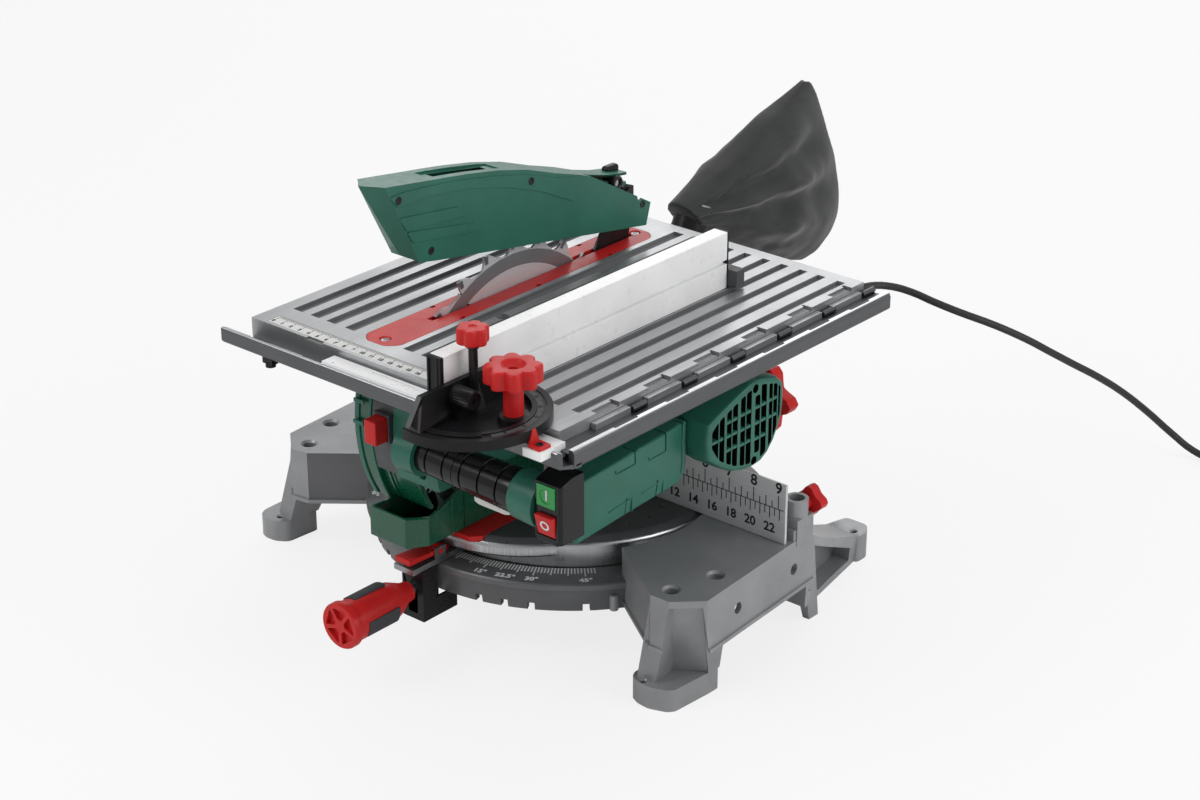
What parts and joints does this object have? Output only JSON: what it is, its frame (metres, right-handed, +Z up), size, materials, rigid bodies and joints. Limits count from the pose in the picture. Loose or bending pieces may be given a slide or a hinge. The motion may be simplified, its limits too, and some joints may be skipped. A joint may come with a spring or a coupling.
{
  "type": "combination mitre saw",
  "caption": "Mitre saw with a swivelling turntable and a hinged motor head that carries a small saw table with guard, rip fence and protractor.",
  "frame": {"origin": "middle of the footprint of the saw without its cord, on the bench", "axes": "+X to the operator's right, +Y away from the operator, +Z up"},
  "size_m": [0.7376, 0.9991, 0.419],
  "materials": {
    "cast_grey": "painted cast aluminium",
    "table_grey": "light grey paint",
    "bare_aluminium": "extruded",
    "steel": "turned",
    "green_plastic": "moulded",
    "dark_green_plastic": "moulded",
    "red_plastic": "moulded",
    "black_plastic": "moulded",
    "graphite_plastic": "moulded",
    "pale_plastic": "moulded",
    "button_green": "moulded",
    "black_metal": "black paint",
    "soft_rubber": "soft grip",
    "cord_rubber": "flexible sheath",
    "cloth": "woven"
  },
  "bodies": {
    "base": {"base_casting": "cast_grey", "fence": "bare_aluminium"},
    "socket_knob": {"socket_knob": "red_plastic"},
    "turntable": {"turntable": "cast_grey", "pivot_bolt": "steel", "kerf_insert": "red_plastic", "front_bracket": "black_metal", "angle_pointer": "red_plastic", "lower_box": "dark_green_plastic", "bevel_arm": "cast_grey", "bevel_pin": "steel", "chop_shaft": "steel", "cord_gland": "cord_rubber", "power_cord": "cord_rubber", "cord_coil": "cord_rubber", "plug": "black_plastic"},
    "bevel_knob": {"bevel_knob": "red_plastic"},
    "detent_lever": {"detent_lever": "red_plastic"},
    "front_handle": {"handle_body": "red_plastic", "handle_sleeve": "soft_rubber", "handle_cap": "red_plastic", "handle_rod": "steel"},
    "head": {"blade_housing": "green_plastic", "housing_strip": "graphite_plastic", "grip": "black_plastic", "handle_arm": "green_plastic", "switch_box": "black_plastic", "motor_housing": "green_plastic", "motor_cap": "green_plastic", "dust_port": "black_plastic", "dust_bag": "cloth", "bag_clip": "steel"},
    "lock_button": {"lock_button": "red_plastic"},
    "trigger": {"trigger": "pale_plastic"},
    "button_on": {"button_on": "button_green"},
    "button_off": {"button_off": "red_plastic"},
    "lower_guard": {"lower_guard": "dark_green_plastic"},
    "rotor": {"armature": "steel", "pinion": "steel"},
    "blade": {"saw_blade": "steel", "gear": "steel", "spindle": "steel", "arbor_bolt": "steel", "outer_flange": "steel", "inner_flange": "steel"},
    "table": {"table_top": "table_grey", "table_insert": "red_plastic", "front_rail": "bare_aluminium", "right_rail": "bare_aluminium", "riving_knife": "black_metal", "guard_pivot": "black_metal"},
    "upper_guard": {"upper_guard": "green_plastic"},
    "guide_bar": {"guide_bar": "bare_aluminium"},
    "protractor": {"protractor": "black_plastic"},
    "rip_fence": {"rip_fence": "bare_aluminium", "rip_cap": "black_plastic", "rip_block": "black_plastic"},
    "big_knob": {"big_knob": "red_plastic"},
    "clamp_screw": {"clamp_screw": "black_plastic"},
    "small_knob": {"small_knob": "red_plastic"}
  },
  "joints": [
    {"name": "swivel", "type": "hinge", "parent": "base", "child": "turntable", "pos_m": [0, -0.0135, 0.086], "axis": [0, 0, 1], "range_deg": [-47, 47]},
    {"name": "socket_screw_turn", "type": "hinge", "parent": "base", "child": "socket_knob", "pos_m": [0.2295, 0.0245, 0.126], "axis": [0, 1, 0], "range_deg": [-180, 180]},
    {"name": "bevel_lock_turn", "type": "hinge", "parent": "turntable", "child": "bevel_knob", "pos_m": [0.058, 0.1865, 0.112], "axis": [0, 1, 0], "range_deg": [-90, 90]},
    {"name": "detent_lift", "type": "hinge", "parent": "turntable", "child": "detent_lever", "pos_m": [0, -0.1905, 0.0895], "axis": [-1, 0, 0], "range_deg": [0, 8], "stiffness_Nm_per_rad": 0.5, "springref_deg": -5.73},
    {"name": "handle_turn", "type": "hinge", "parent": "turntable", "child": "front_handle", "pos_m": [0, -0.2535, 0.06], "axis": [0, 1, 0], "range_deg": [-180, 180]},
    {"name": "chop", "type": "hinge", "parent": "turntable", "child": "head", "pos_m": [0, 0.1365, 0.2], "axis": [-1, 0, 0], "range_deg": [0, 35]},
    {"name": "lock_press", "type": "slide", "parent": "head", "child": "lock_button", "axis": [0, 1, 0], "range_m": [0, 0.0022], "stiffness_N_per_m": 400, "springref_m": -0.002},
    {"name": "trigger_pull", "type": "slide", "parent": "head", "child": "trigger", "axis": [0, 0, 1], "range_m": [0, 0.003], "stiffness_N_per_m": 400, "springref_m": -0.002},
    {"name": "on_press", "type": "slide", "parent": "head", "child": "button_on", "axis": [0, 1, 0], "range_m": [0, 0.0015], "stiffness_N_per_m": 400, "springref_m": -0.002},
    {"name": "off_press", "type": "slide", "parent": "head", "child": "button_off", "axis": [0, 1, 0], "range_m": [0, 0.0015], "stiffness_N_per_m": 400, "springref_m": -0.002},
    {"name": "guard_turn", "type": "hinge", "parent": "head", "child": "lower_guard", "pos_m": [-0.03, -0.0877, 0.203], "axis": [1, 0, 0], "range_deg": [0, 75]},
    {"name": "blade_spin", "type": "hinge", "parent": "head", "child": "blade", "pos_m": [0, -0.0877, 0.203], "axis": [1, 0, 0], "continuous": true},
    {"name": "rotor_spin", "type": "hinge", "parent": "head", "child": "rotor", "pos_m": [0.1, -0.04749, 0.21514], "axis": [1, 0, 0], "continuous": true},
    {"name": "table_height", "type": "slide", "parent": "head", "child": "table", "axis": [0, 0, 1], "range_m": [0, 0.035]},
    {"name": "upper_guard_lift", "type": "hinge", "parent": "table", "child": "upper_guard", "pos_m": [0, 0.0595, 0.332], "axis": [-1, 0, 0], "range_deg": [0, 35]},
    {"name": "guide_slide", "type": "slide", "parent": "table", "child": "guide_bar", "axis": [1, 0, 0], "range_m": [-0.06, 0]},
    {"name": "protractor_turn", "type": "hinge", "parent": "guide_bar", "child": "protractor", "pos_m": [0.183, -0.28575, 0.296], "axis": [0, 0, 1], "range_deg": [-60, 8]},
    {"name": "rip_slide", "type": "slide", "parent": "protractor", "child": "rip_fence", "axis": [0, 1, 0], "range_m": [-0.06, 0.04]},
    {"name": "big_knob_turn", "type": "hinge", "parent": "protractor", "child": "big_knob", "pos_m": [0.183, -0.28575, 0.32], "axis": [0, 0, 1], "range_deg": [-180, 180]},
    {"name": "clamp_screw_turn", "type": "hinge", "parent": "protractor", "child": "clamp_screw", "pos_m": [0.155, -0.3065, 0.3115], "axis": [1, 0, 0], "range_deg": [-180, 180]},
    {"name": "small_knob_turn", "type": "hinge", "parent": "protractor", "child": "small_knob", "pos_m": [0.149, -0.2915, 0.34], "axis": [0, 0, 1], "range_deg": [-180, 180]}
  ],
  "couplings": [
    {"joint": "guard_turn", "follows": "chop", "ratio": 2.1},
    {"joint": "rotor_spin", "follows": "blade_spin", "ratio": -3.8}
  ]
}
